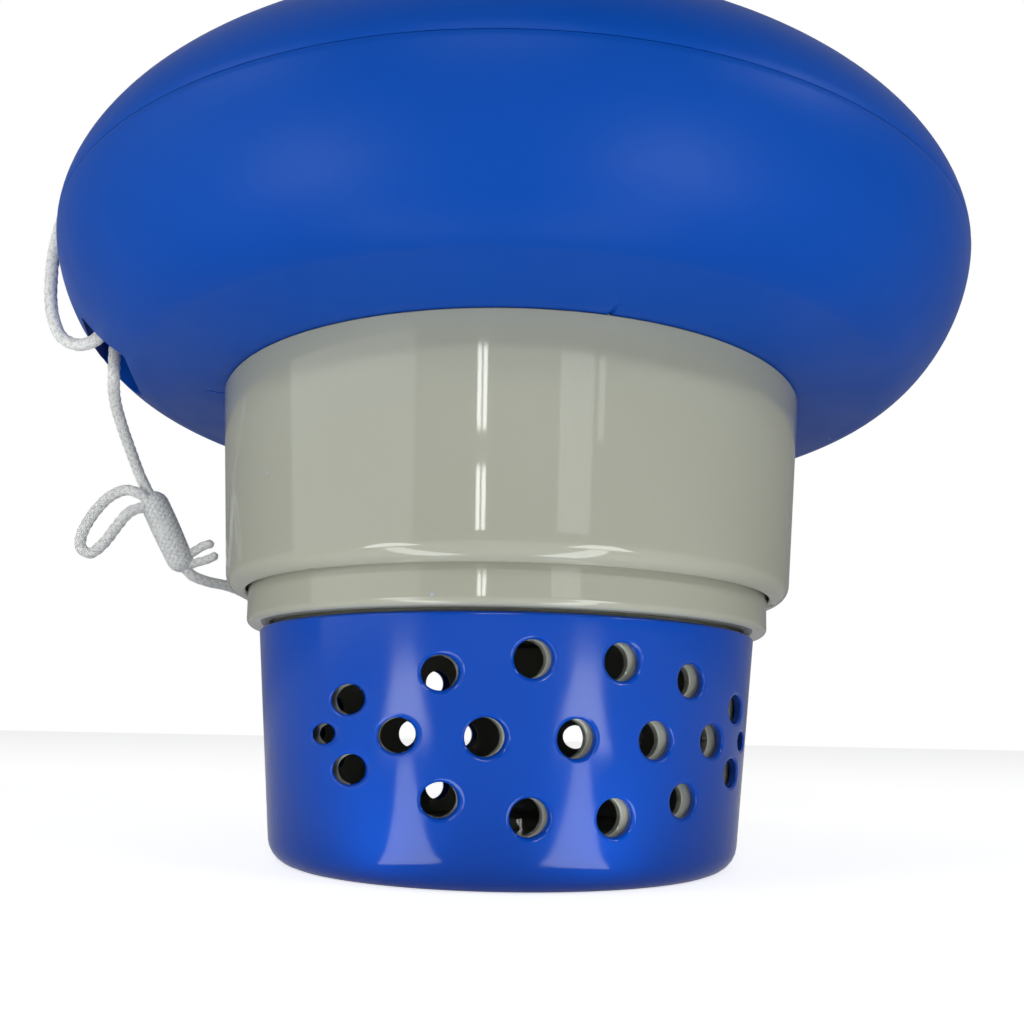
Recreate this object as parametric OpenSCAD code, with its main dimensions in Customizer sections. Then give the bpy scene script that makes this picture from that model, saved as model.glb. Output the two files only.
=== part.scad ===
// Floating chlorine dispenser: a hollow float ring carries a collar, in which a
// perforated tablet basket telescopes. A turning vent cup round the basket sets the flow.
// Z is up, the origin is the centre of the cup's foot, and all sizes are in millimetres.

/* [Float] */
// Diameter of the float ring
float_d = 178; // [174:1:186]
// Height of the seam between the two float shells
seam_z = 113; // [113:1:116]
// Height of the float's crest above the seam
crest_h = 27; // [26:0.5:30]
// Wall of the float shells
float_wall = 2.4; // [2:0.1:2.8]

/* [Collar] */
// Height of the collar's lower edge
collar_z = 51.3; // [51:0.1:52]
// Outer radius of the collar at its lower edge
collar_low_r = 55.8; // [55.5:0.1:56.2]
// Outer radius of the collar where it meets the float
collar_top_r = 58.1; // [57.9:0.1:58.6]

/* [Basket] */
// Outer radius of the telescoping sleeve
sleeve_r = 51.7; // [51.5:0.1:51.7]
// Wall of the sleeve and basket
basket_wall = 1.8; // [1.5:0.1:2]
// Length that the basket telescopes out of the collar
travel = 46; // [30:1:46]

/* [Vent cup] */
// Outer radius of the cup at its rim
cup_rim_r = 49.2; // [49:0.1:49.5]
// Outer radius of the cup just above its rounded lower edge
cup_low_r = 45.8; // [45.6:0.1:46]
// Wall of the cup
cup_wall = 1.8; // [1.6:0.1:1.9]
// Angle between neighbouring vents in a row
vent_pitch = 17.4; // [17:0.1:18]
// Direction of the front window's centre, from -Y towards +X
window_az = 14; // [0:1:40]

/* [Lid] */
// Width of the lid's finger grip
grip_w = 11; // [9:1:14]

/* [Tether] */
// Diameter of the tether cord
cord_d = 2.4; // [2:0.1:2.6]
// Direction of the tether slot's centre, from -Y towards +X
slot_az = -78.5; // [-79:0.5:-78]

/* [Hidden] */
$fn = 96;

blue = [0.03, 0.30, 0.75];
grey = [0.63, 0.64, 0.58];
white = [0.87, 0.87, 0.84];
black = [0.12, 0.12, 0.13];

// Float ring
float_r = float_d / 2;
crest_r = 49;                 // radius at which the float is highest
crest_z = seam_z + crest_h;
well_r = 57.4;                // well that takes the collar
well_wall = 2.2;
mouth_r = 46.8;               // sunk opening for the lid
shelf_r = 44.7;               // shelf that the neck ring clamps
shelf_h = 2.2;
under_z = 90;                 // underside where the collar seats
knee_r = 72.5;                // where the flat underside turns into the round side
knee_z = 91.8;
upper_power = 1.85;
lower_power = 1.72;

// Tether slot, inside the rim's outer bar
slot_in_r = 75.5;
slot_w = 8;
slot_len = 24;
slot_round = 1.5;
slot_wall = 1.6;

// Collar and its neck
collar_wall = 1.9;
lip_bore_r = 52.1;
lip_h = 2.8;
lip_round = 3;
tube_r = 57.3;
tube_bore_r = 53.9;
neck_r = 44.4;
neck_bore_r = 41.5;
neck_top_z = 131;
neck_floor_z = seam_z - 2.2;

// Bayonet of the lid
lug_z = 124;
lug_h = 2.6;
lug_r = 42.9;
lug_half = 6;                 // half width, in degrees
groove_gap = 0.4;
lock_turn = 30;

// Basket and sleeve
sleeve_z = 44.8;
sleeve_top_z = 108;
basket_floor_z = 4.2;
basket_low_r = cup_low_r - cup_wall - 0.5;
basket_rim_r = cup_rim_r - cup_wall - 0.5;
stop_r = 53.3;
ring_z = 102.8;
ring_r = 1.25;
ring_seat_r = 51;

// Vent cup
cup_round = 5;
cup_rim_z = 44.2;
cup_floor_z = 1.6;
cup_floor_h = 2;
foot_in_r = 36;
vent_z = 24.5;
// Vents of a window: [place along the row in pitches, height above the row, radius]
vents = [
    for (k = [-1, 0, 1]) [k, 0, 3.15],
    for (s = [-1, 1]) each [
        [2 * s, 0, 2.85], [3.05 * s, 0, 1.7],
        for (h = [-1, 1]) each [[0.5 * s, 12.4 * h, 3.1], [1.5 * s, 10 * h, 2.85],
            [2.65 * s, 5.7 * h, 2.5]]
    ]
];

// Snap rivet that the cup turns on
rivet_r = 2.8;
rivet_bore_r = 3.2;

// Lid
lid_r = 46.3;
lid_z = 132.2;
lid_h = 2.2;
dish_r = 38.9;
dish_floor_z = 122;
skirt_r = 40.9;
grip_top_z = 139.6;

// Coil of the tether, lying behind the cup
coil_pos = [0, 70, 0];
coil_in_r = 8.4;
coil_out_r = 18;
coil_z = 0.6;
coil_h = 6.8;
tie_t = 0.6;

// Route of the tether: out of the slot's upper mouth, over the rim, under its bar, up into
// the slot and out again, down through the braided sleeve and on to the surface behind the cup
cord_route = [
    [-76.8, -12.4, 112], [-76.6, -12.5, 118.5], [-76.6, -13.3, 124.5], [-77.8, -15.2, 128.7],
    [-81.1, -17.7, 130.6], [-84.4, -20, 129], [-86, -21.6, 124.8], [-86.9, -22.5, 120.5],
    [-87.4, -22.9, 116.5], [-87.8, -23, 112.5], [-87.8, -23, 108.5], [-87.6, -23, 105],
    [-86.7, -23.2, 101], [-84.8, -23.3, 97.4], [-81.5, -23.3, 96], [-78, -23.4, 97.4],
    [-76.3, -23.8, 101], [-76.3, -23.8, 104.5], [-76.7, -22.1, 108.4], [-77.6, -18.4, 110],
    [-78.4, -14.6, 108.4], [-78.9, -13, 104.5], [-79.1, -12.7, 100.5], [-78.9, -12.8, 94.4],
    [-80.1, -8.6, 90.7], [-80.4, -3.6, 86.9], [-80.2, 2.4, 82.4], [-79.3, 6.6, 77.9],
    [-76.4, 8.6, 72], [-73.9, 9.5, 66.8], [-71.4, 10.4, 61.6], [-69.2, 11.6, 58.2],
    [-66.2, 14.4, 57], [-62.6, 18.8, 56.6], [-59, 24.2, 55], [-56, 29.4, 51.2],
    [-53.8, 33.6, 45.8], [-52.2, 36.8, 39.4], [-51, 39.6, 32.6], [-50, 42, 25.8],
    [-49, 44.4, 19], [-47.6, 47.2, 12.6], [-45.2, 50.8, 7], [-41.6, 55.2, 3],
    [-37, 60, 1.3], [-31.8, 65, 1.3], [-26.4, 69.8, 1.3], [-21, 74, 1.3]
];
sleeve_from = [-78, 8.1, 75.4];
sleeve_to = [-70.1, 10.9, 58.6];
sleeve_radius = 3;
loop_route = [
    [-79.6, 5.6, 74.6], [-82.6, 6, 75.2], [-86, 6, 73.4], [-88.7, 5.6, 69.8],
    [-90.6, 5.4, 65.8], [-90.8, 5.4, 62.6], [-88.6, 5.4, 61.3], [-86, 5.6, 63.6],
    [-83.6, 5.7, 67.2], [-81, 5.6, 70.4]
];
tail_routes = [
    [[-68.6, 10.8, 62.9], [-66.5, 10.8, 64.3], [-64.2, 10.8, 65]],
    [[-67.8, 10.8, 60.6], [-65.6, 10.8, 61.3], [-63.2, 10.8, 62.5]]
];

// Unit vector of v
function unit(v) = v / norm(v);

// Direction of travel at point i of a route
function heading(route, i) =
    unit(route[min(i + 1, len(route) - 1)] - route[max(i - 1, 0)]);

// A direction square to t that turns slowly along a route
function side_of(t) = unit(cross(t, abs(t.z) > 0.9 ? [0, 1, 0] : [0, 0, 1]));

// Side directions carried along a route, each one squared to the next heading
function carried_sides(route, i = 0, last = undef) =
    i == len(route) ? [] :
    let (t = heading(route, i),
        s = is_undef(last) ? side_of(t) : unit(last - (last * t) * t))
    concat([s], carried_sides(route, i + 1, s));

// Tube of radius r along a route, with flat ends
module tube(route, r, sides = 8) {
    s = carried_sides(route);
    n = len(route);
    rings = [
        for (i = [0 : n - 1])
            let (t = heading(route, i), u = s[i], v = cross(t, u))
            for (k = [0 : sides - 1])
                route[i] + r * (cos(360 * k / sides) * u + sin(360 * k / sides) * v)
    ];
    walls = [
        for (i = [0 : n - 2])
            for (k = [0 : sides - 1])
                let (a = i * sides + k, b = i * sides + (k + 1) % sides)
                each [[a, a + sides, b], [b, a + sides, b + sides]]
    ];
    start = [for (k = [0 : sides - 1]) k];
    end = [for (k = [sides - 1 : -1 : 0]) (n - 1) * sides + k];
    polyhedron(rings, concat(walls, [start, end]));
}

// Points of a quarter of a rounded outline from [cx + a, cz] to [cx, cz + b]
function quarter(cx, cz, a, b, power, steps = 14) = [
    for (i = [0 : steps])
        let (t = 90 * i / steps)
        [cx + a * pow(cos(t), 2 / power), cz + b * pow(sin(t), 2 / power)]
];

// Points of a circular arc
function arc(cx, cz, r, from, to, steps = 6) = [
    for (i = [0 : steps])
        let (t = from + (to - from) * i / steps)
        [cx + r * cos(t), cz + r * sin(t)]
];

function reversed(list) = [for (i = [len(list) - 1 : -1 : 0]) list[i]];

// Turns a shape drawn along +X to the direction az, from -Y towards +X
module toward(az) {
    rotate([0, 0, az - 90]) children();
}

// Sector of a ring, its middle along +X
module sector(r_in, r_out, half, z0, h) {
    reach = r_out * 1.2;
    intersection() {
        translate([0, 0, z0]) difference() {
            cylinder(r = r_out, h = h);
            translate([0, 0, -1]) cylinder(r = r_in, h = h + 2);
        }
        translate([0, 0, z0 - 1]) linear_extrude(h + 2) polygon([[0, 0],
            [reach * cos(half), -reach * sin(half)], [reach * cos(half), reach * sin(half)]]);
    }
}

// The through slot with round corners
module slot_cut() {
    toward(slot_az) translate([slot_in_r, -slot_len / 2, under_z - 10]) {
        translate([slot_round, 0, 0]) cube([slot_w - 2 * slot_round, slot_len, 70]);
        translate([0, slot_round, 0]) cube([slot_w, slot_len - 2 * slot_round, 70]);
        for (x = [slot_round, slot_w - slot_round], y = [slot_round, slot_len - slot_round])
            translate([x, y, 0]) cylinder(r = slot_round, h = 70);
    }
}

// Block that walls the slot off from the air chamber
module slot_block() {
    toward(slot_az) translate([slot_in_r - slot_wall, -slot_len / 2 - slot_wall, under_z - 10])
        cube([30, slot_len + 2 * slot_wall, 70]);
}

upper_outer = quarter(crest_r, seam_z, float_r - crest_r, crest_h, upper_power);
upper_inner = quarter(crest_r, seam_z, float_r - float_wall - crest_r,
    crest_h - float_wall, upper_power);
lower_outer = quarter(knee_r, seam_z, float_r - knee_r, knee_z - seam_z, lower_power);
lower_inner = quarter(knee_r, seam_z, float_r - float_wall - knee_r,
    knee_z + float_wall - seam_z, lower_power);
shelf_top_z = seam_z + shelf_h;
well_out_r = well_r + well_wall;

module float_upper_shell() {
    color(blue) difference() {
        union() {
            rotate_extrude() polygon(concat(upper_outer,
                [[mouth_r + 0.7, crest_z - 0.6], [mouth_r, crest_z - 2],
                [mouth_r, shelf_top_z], [shelf_r, shelf_top_z], [shelf_r, seam_z],
                [well_out_r, seam_z], [well_out_r, shelf_top_z], [crest_r, shelf_top_z]],
                reversed(upper_inner)));
            intersection() {
                rotate_extrude() polygon(concat(upper_outer, [[crest_r, seam_z]]));
                slot_block();
            }
        }
        slot_cut();
    }
}

module float_lower_shell() {
    slit_len = 4.5;
    slit_w = 0.8;
    color(blue) difference() {
        union() {
            rotate_extrude() polygon(concat(lower_outer,
                [[well_r + 1.6, under_z], [well_r, under_z], [well_r, seam_z],
                [well_out_r, seam_z], [well_out_r, under_z + float_wall]],
                reversed(lower_inner)));
            intersection() {
                rotate_extrude() polygon(concat(lower_outer, [[knee_r, seam_z]]));
                slot_block();
            }
        }
        slot_cut();
        for (a = [-75, 15, 105, 195])
            toward(a) translate([well_r - 1, -slit_w / 2, under_z - 1])
                cube([slit_len + 2, slit_w, 1.9]);
    }
}

module collar() {
    notch_w = 2.4;
    color(grey) difference() {
        rotate_extrude() polygon(concat(
            [[lip_bore_r, collar_z + 1.2], [lip_bore_r + 0.4, collar_z + 0.3]],
            arc(collar_low_r - lip_round, collar_z + lip_round, lip_round, -90, 0),
            [[collar_top_r, under_z], [tube_r, under_z], [tube_r, seam_z], [neck_r, seam_z],
            [neck_r, neck_top_z], [neck_bore_r, neck_top_z], [neck_bore_r, neck_floor_z],
            [tube_bore_r, neck_floor_z], [tube_bore_r, 96],
            [collar_top_r - collar_wall, under_z],
            [collar_low_r - collar_wall, collar_z + lip_h + 0.4],
            [lip_bore_r, collar_z + lip_h]]));
        for (a = [-38, 82, 202])
            toward(a) translate([lip_bore_r - 1, -notch_w / 2, collar_z - 1])
                cube([2.2, notch_w, lip_h + 2]);
        for (a = [0, 120, 240]) rotate([0, 0, a]) {
            sector(neck_bore_r - 1, lug_r + groove_gap, lug_half + 1, lug_z + 1,
                neck_top_z - lug_z + 1);
            rotate([0, 0, lock_turn / 2]) sector(neck_bore_r - 2, lug_r + groove_gap + 0.1,
                lug_half + 2 + lock_turn / 2, lug_z - groove_gap, lug_h + 2 * groove_gap);
        }
    }
}

module neck_ring() {
    ring_h = 4;
    color(grey) translate([0, 0, shelf_top_z]) difference() {
        cylinder(r = mouth_r - 0.4, h = ring_h);
        translate([0, 0, -1]) cylinder(r = neck_r, h = ring_h + 2);
        for (a = [0 : 45 : 315])
            rotate([0, 0, a]) translate([mouth_r - 1.2, -1.5, 1]) cube([2, 3, ring_h]);
    }
}

// Outer radius of the cup's wall at a height
function cup_wall_r(z) =
    cup_low_r + (cup_rim_r - cup_low_r) * (z - cup_round) / (cup_rim_z - cup_round);

// Every vent of both windows, as pins that lie parallel in each window
module vent_pins() {
    start = 10;
    for (w = [0, 180])
        toward(window_az + w)
            for (v = vents)
                translate([start, cup_wall_r(vent_z + v[1]) * sin(v[0] * vent_pitch),
                    vent_z + v[1]])
                    rotate([0, 90, 0]) cylinder(r = v[2], h = cup_rim_r - start + 5);
}

module basket() {
    web_z = sleeve_z + basket_wall;
    edge_r = 1.3;
    corner = 2.9;
    inner_low_r = basket_low_r - basket_wall;
    color(grey) {
        difference() {
            rotate_extrude() polygon(concat(
                [[rivet_r, basket_floor_z], [basket_low_r - corner, basket_floor_z]],
                arc(basket_low_r - corner, basket_floor_z + corner, corner, -90, 0),
                [[basket_rim_r, sleeve_z], [sleeve_r - edge_r, sleeve_z]],
                arc(sleeve_r - edge_r, sleeve_z + edge_r, edge_r, -90, 0),
                [[sleeve_r, ring_z - ring_r], [ring_seat_r, ring_z - ring_r],
                [ring_seat_r, ring_z + ring_r], [sleeve_r, ring_z + ring_r],
                [sleeve_r, sleeve_top_z], [sleeve_r - basket_wall, sleeve_top_z],
                [sleeve_r - basket_wall, web_z], [basket_rim_r - basket_wall, web_z],
                [inner_low_r, basket_floor_z + corner], [inner_low_r - 1, basket_floor_z + 2],
                [rivet_r, basket_floor_z + 2]]));
            vent_pins();
        }
        for (a = [22, 142, 262])
            toward(a) sector(sleeve_r - 0.5, stop_r, 6, sleeve_top_z - 3, 3);
    }
}

module friction_ring() {
    color(black) rotate_extrude() translate([ring_seat_r + ring_r, ring_z]) circle(r = ring_r);
}

module vent_cup() {
    floor_top = cup_floor_z + cup_floor_h;
    in_round = cup_round - cup_wall;
    color(blue) difference() {
        rotate_extrude() polygon(concat(
            [[rivet_bore_r, cup_floor_z], [foot_in_r - 1, cup_floor_z], [foot_in_r, 0],
            [cup_low_r - cup_round, 0]],
            arc(cup_low_r - cup_round, cup_round, cup_round, -90, 0),
            [[cup_rim_r, cup_rim_z], [cup_rim_r - cup_wall, cup_rim_z]],
            reversed(arc(cup_low_r - cup_round, floor_top + in_round, in_round, -90, 0)),
            [[rivet_bore_r, floor_top]]));
        vent_pins();
    }
}

module pivot_rivet() {
    color(grey) rotate_extrude() polygon([[0, 0.3], [6, 0.3], [6, 0.8], [rivet_r, 0.8],
        [rivet_r, basket_floor_z + 2], [rivet_r + 0.8, basket_floor_z + 2],
        [rivet_r - 0.6, basket_floor_z + 4], [0, basket_floor_z + 4]]);
}

module pivot_washer() {
    color(white) translate([0, 0, 0.8]) difference() {
        cylinder(r = 7, h = 0.5);
        translate([0, 0, -1]) cylinder(r = rivet_r, h = 3);
    }
}

module lid_cap() {
    rim_round = 1;
    color(grey) {
        rotate_extrude() polygon(concat(
            [[0, dish_floor_z], [skirt_r, dish_floor_z], [skirt_r, lid_z],
            [lid_r, lid_z]],
            arc(lid_r - rim_round, lid_z + lid_h - rim_round, rim_round, 0, 90),
            [[dish_r, lid_z + lid_h], [dish_r, dish_floor_z + 2], [0, dish_floor_z + 2]]));
        intersection() {
            translate([-grip_w / 2, -dish_r - 1, dish_floor_z + 1])
                cube([grip_w, 2 * dish_r + 2, grip_top_z - dish_floor_z - 1]);
            cylinder(r = dish_r + 0.5, h = grip_top_z);
        }
        for (a = [0, 120, 240])
            rotate([0, 0, a]) sector(skirt_r - 0.5, lug_r, lug_half, lug_z, lug_h);
    }
}

module lid_gasket() {
    color(black) translate([0, 0, neck_top_z + 0.2]) difference() {
        cylinder(r = neck_r, h = 0.8);
        translate([0, 0, -1]) cylinder(r = neck_bore_r + 0.1, h = 3);
    }
}

module tether_cord() {
    color(white) tube(cord_route, cord_d / 2);
}

module tether_sleeve() {
    along = sleeve_to - sleeve_from;
    tilt = acos(along.z / norm(along));
    turn = atan2(along.y, along.x);
    color(white) translate(sleeve_from) rotate([0, tilt, turn])
        cylinder(r = sleeve_radius, h = norm(along));
}

module tether_loop() {
    color(white) tube(loop_route, cord_d / 2);
}

module tether_tails() {
    color(white) for (route = tail_routes) tube(route, cord_d / 2 - 0.2);
}

module tether_coil() {
    color(white) translate(coil_pos + [0, 0, coil_z]) difference() {
        cylinder(r = coil_out_r, h = coil_h);
        translate([0, 0, -1]) cylinder(r = coil_in_r, h = coil_h + 2);
    }
}

module coil_tie() {
    tie_w = 4;
    bundle_w = coil_out_r - coil_in_r;
    color(black) translate(coil_pos) difference() {
        translate([coil_in_r - tie_t - 0.3, -tie_w / 2, 0])
            cube([bundle_w + 2 * tie_t + 0.3, tie_w, coil_z + coil_h + tie_t]);
        translate([0, 0, coil_z]) difference() {
            cylinder(r = coil_out_r, h = coil_h);
            translate([0, 0, -1]) cylinder(r = coil_in_r, h = coil_h + 2);
        }
    }
}

module tether_knot() {
    knot_r = 2.6;
    color(white) translate(coil_pos + [0, -coil_out_r - knot_r, knot_r]) sphere(r = knot_r);
}

float_upper_shell();
float_lower_shell();
collar();
neck_ring();
basket();
friction_ring();
vent_cup();
pivot_rivet();
pivot_washer();
lid_cap();
lid_gasket();
tether_cord();
tether_sleeve();
tether_loop();
tether_tails();
tether_coil();
coil_tie();
tether_knot();
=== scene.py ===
import math

import bmesh
import bpy
from mathutils import Matrix, Vector


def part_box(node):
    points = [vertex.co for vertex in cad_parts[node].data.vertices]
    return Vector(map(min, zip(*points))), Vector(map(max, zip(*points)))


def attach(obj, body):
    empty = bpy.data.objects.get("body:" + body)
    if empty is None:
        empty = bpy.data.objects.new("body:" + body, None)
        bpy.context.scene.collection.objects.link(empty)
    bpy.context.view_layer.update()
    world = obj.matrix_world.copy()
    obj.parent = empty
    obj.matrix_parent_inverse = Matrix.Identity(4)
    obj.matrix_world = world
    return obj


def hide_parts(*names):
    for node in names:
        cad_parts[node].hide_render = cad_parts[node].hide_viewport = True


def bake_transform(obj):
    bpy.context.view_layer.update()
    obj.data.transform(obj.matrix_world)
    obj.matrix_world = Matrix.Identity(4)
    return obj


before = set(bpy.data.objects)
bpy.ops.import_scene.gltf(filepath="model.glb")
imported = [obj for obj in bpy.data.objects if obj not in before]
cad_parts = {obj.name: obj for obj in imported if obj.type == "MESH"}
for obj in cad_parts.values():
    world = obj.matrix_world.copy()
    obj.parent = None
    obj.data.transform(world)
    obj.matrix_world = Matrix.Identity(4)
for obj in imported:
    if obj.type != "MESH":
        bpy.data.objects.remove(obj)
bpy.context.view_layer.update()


# ------------------------------------------------------------------ Camera
# It stands close in front of the dispenser, a little above the foot, and looks slightly up,
# so that the float's underside and the slot of the tether show.
camera_data = bpy.data.cameras.new("camera")
camera_data.sensor_width = 36
camera_data.lens = 35.26
camera_data.shift_y = 0.095
camera_data.clip_start = 0.01
camera = bpy.data.objects.new("camera", camera_data)
bpy.context.collection.objects.link(camera)
camera.matrix_world = (
    Matrix.Translation((0, -0.205, 0.0253))
    @ Matrix.Rotation(math.radians(-0.277), 4, "Z")
    @ Matrix.Rotation(math.radians(97), 4, "X")
    @ Matrix.Rotation(math.radians(1.144), 4, "Z")
)
bpy.context.scene.camera = camera


# ------------------------------------------------------------------ Tether cord
# A white polyester cord of eight plaits, braided round without a core. It comes out of the slot's
# top, goes round the rim's bar, up into the slot and out again, and hangs through a sleeve to the
# ground. The length that isn't used is wound up behind the cup.
CORD_D = 0.0024
COIL_CENTRE = Vector((0, 0.07, 0))
COIL_TURN_R = [0.0168, 0.0144, 0.012, 0.0096, 0.0108, 0.0132,
               0.0156, 0.0168, 0.0144, 0.012, 0.0096]
COIL_TURN_Z = [0.0018] * 4 + [0.004] * 3 + [0.0062] * 4
COIL_START = math.radians(120)
COIL_LAST_TURN = math.radians(140)

cord_route = [
    (-0.0768, -0.0124, 0.112), (-0.0766, -0.0125, 0.1185), (-0.0766, -0.0133, 0.1245),
    (-0.0778, -0.0152, 0.1287), (-0.0811, -0.0177, 0.1306), (-0.0844, -0.02, 0.129),
    (-0.086, -0.0216, 0.1248), (-0.0869, -0.0225, 0.1205), (-0.0874, -0.0229, 0.1165),
    (-0.0878, -0.023, 0.1125), (-0.0878, -0.023, 0.1085), (-0.0876, -0.023, 0.105),
    (-0.0867, -0.0232, 0.101), (-0.0848, -0.0233, 0.0974), (-0.0815, -0.0233, 0.096),
    (-0.078, -0.0234, 0.0974), (-0.0763, -0.0238, 0.101), (-0.0763, -0.0238, 0.1045),
    (-0.0767, -0.0221, 0.1084), (-0.0776, -0.0184, 0.11), (-0.0784, -0.0146, 0.1084),
    (-0.0789, -0.013, 0.1045), (-0.0791, -0.0127, 0.1005), (-0.0789, -0.0128, 0.0944),
    (-0.0801, -0.0086, 0.0907), (-0.0804, -0.0036, 0.0869), (-0.0802, 0.0024, 0.0824),
    (-0.0793, 0.0066, 0.0779), (-0.0764, 0.0086, 0.072), (-0.0739, 0.0095, 0.0668),
    (-0.0714, 0.0104, 0.0616), (-0.0692, 0.0116, 0.0582), (-0.0662, 0.0144, 0.057),
    (-0.0626, 0.0188, 0.0566), (-0.059, 0.0242, 0.055), (-0.056, 0.0294, 0.0512),
    (-0.0538, 0.0336, 0.0458), (-0.0522, 0.0368, 0.0394), (-0.051, 0.0396, 0.0326),
    (-0.05, 0.042, 0.0258), (-0.049, 0.0444, 0.019), (-0.0476, 0.0472, 0.0126),
    (-0.0452, 0.0508, 0.007), (-0.0416, 0.0552, 0.003), (-0.037, 0.06, 0.0013),
    (-0.0318, 0.065, 0.0013), (-0.0264, 0.0698, 0.0013), (-0.021, 0.074, 0.0013),
    (-0.0153, 0.0796, 0.0015),
]
# The end crosses the coil in a low hump and goes down into its knot
cord_end = [
    (0.0072, 0.0628, 0.0084), (0.0053, 0.0587, 0.0096), (0.0029, 0.0546, 0.0099),
    (0.001, 0.0514, 0.0088), (0.0002, 0.0499, 0.0066), (0, 0.0494, 0.0044),
]


def eased(share):
    """0 to 1 with a soft start and a soft end."""
    share = min(max(share, 0), 1)
    return share * share * (3 - 2 * share)


def coil_points():
    """Each turn keeps its place and steps to the next one near its end, or climbs a little before."""
    points = []
    for turn, (radius, height) in enumerate(zip(COIL_TURN_R, COIL_TURN_Z)):
        last = turn == len(COIL_TURN_R) - 1
        next_radius = radius if last else COIL_TURN_R[turn + 1]
        next_height = height if last else COIL_TURN_Z[turn + 1]
        step_from = 300 if next_height == height else 230
        sweep = COIL_LAST_TURN if last else math.tau
        for k in range(round(math.degrees(sweep) / 10)):
            done = eased((10 * k - step_from) / 60)
            angle = COIL_START - math.radians(10 * k)
            at = radius + (next_radius - radius) * done
            z = height + (next_height - height) * done
            points.append(COIL_CENTRE + Vector((at * math.cos(angle), at * math.sin(angle), z)))
    return points


def smooth_path(points, step):
    """Points about a step apart on a smooth curve through the given ones."""
    points = [Vector(p) for p in points]
    points = [2 * points[0] - points[1], *points, 2 * points[-1] - points[-2]]
    path = []
    for a, b, c, d in zip(points, points[1:], points[2:], points[3:]):
        parts = max(1, round((c - b).length / step))
        for k in range(parts):
            t = k / parts
            path.append(0.5 * (2 * b + (c - a) * t + (2 * a - 5 * b + 4 * c - d) * t ** 2
                               + (3 * b - a - 3 * c + d) * t ** 3))
    return path + [points[-2]]


def braid_height(turn, travel):
    """How far the braid's face stands out, 0 to 1, where the plaits of both hands cross."""
    one, other = turn + travel, turn - travel
    if (math.floor(one) + math.floor(other)) % 2:
        one, other = other, one
    across, along = 2 * (one % 1) - 1, 2 * (other % 1) - 1
    return (1 - across ** 2) * (1 - 0.5 * along ** 4)


def braided_tube(name, path, radius, plaits=4, pitch=0.0072, sides=24, depth=0.16, swell=None):
    """A braided tube along the path, round at its ends, with the height in its "braid" attribute."""
    rings, heights = [], []
    along = 0.0
    total = sum((b - a).length for a, b in zip(path, path[1:]))
    side = (path[1] - path[0]).orthogonal().normalized()
    for i, point in enumerate(path):
        heading = (path[min(i + 1, len(path) - 1)] - path[max(i - 1, 0)]).normalized()
        side = (side - side.dot(heading) * heading).normalized()
        up = heading.cross(side)
        along += (point - path[i - 1]).length if i else 0
        end = min(along, total - along, radius) / radius
        here = radius * max(0.12, math.sqrt(1 - (1 - end) ** 2))
        here *= swell(along / total) if swell else 1
        for k in range(sides):
            height = braid_height(plaits * k / sides, plaits * along / pitch)
            angle = math.tau * k / sides
            out = here * (1 - depth * (1 - height))
            rings.append(point + out * (math.cos(angle) * side + math.sin(angle) * up))
            heights.append(height)
    faces = [
        (i * sides + k, i * sides + (k + 1) % sides,
         (i + 1) * sides + (k + 1) % sides, (i + 1) * sides + k)
        for i in range(len(path) - 1) for k in range(sides)
    ]
    last = (len(path) - 1) * sides
    faces.append(tuple(range(sides - 1, -1, -1)))
    faces.append(tuple(range(last, last + sides)))
    mesh = bpy.data.meshes.new(name)
    mesh.from_pydata(rings, [], faces)
    mesh.attributes.new("braid", "FLOAT", "POINT").data.foreach_set("value", heights)
    mesh.shade_smooth()
    return mesh


def place(name, mesh, material, slot, *nodes, body=None):
    """Puts a finished mesh in the scene as the piece that stands for the nodes."""
    piece = bpy.data.objects.new(name, mesh)
    bpy.context.collection.objects.link(piece)
    piece.data.materials.clear()
    piece.data.materials.append(material)
    if body:
        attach(piece, body)
    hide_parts(*nodes)
    return piece


def add_node(tree, kind, values=None, **properties):
    """A shader node with its properties, and its inputs set to values or joined to sockets."""
    made = tree.nodes.new(kind)
    for name, value in properties.items():
        setattr(made, name, value)
    for socket, value in (values or {}).items():
        if isinstance(value, bpy.types.NodeSocket):
            tree.links.new(value, made.inputs[socket])
        else:
            made.inputs[socket].default_value = value
    return made


def new_material(name, **constants):
    """A material with one Principled shader, whose plain numbers are set on its own sockets."""
    material = bpy.data.materials.new(name)
    material.use_nodes = True
    shader = material.node_tree.nodes["Principled BSDF"]
    for socket, value in constants.items():
        shader.inputs[socket.replace("_", " ")].default_value = value
    return material, material.node_tree, shader


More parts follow.
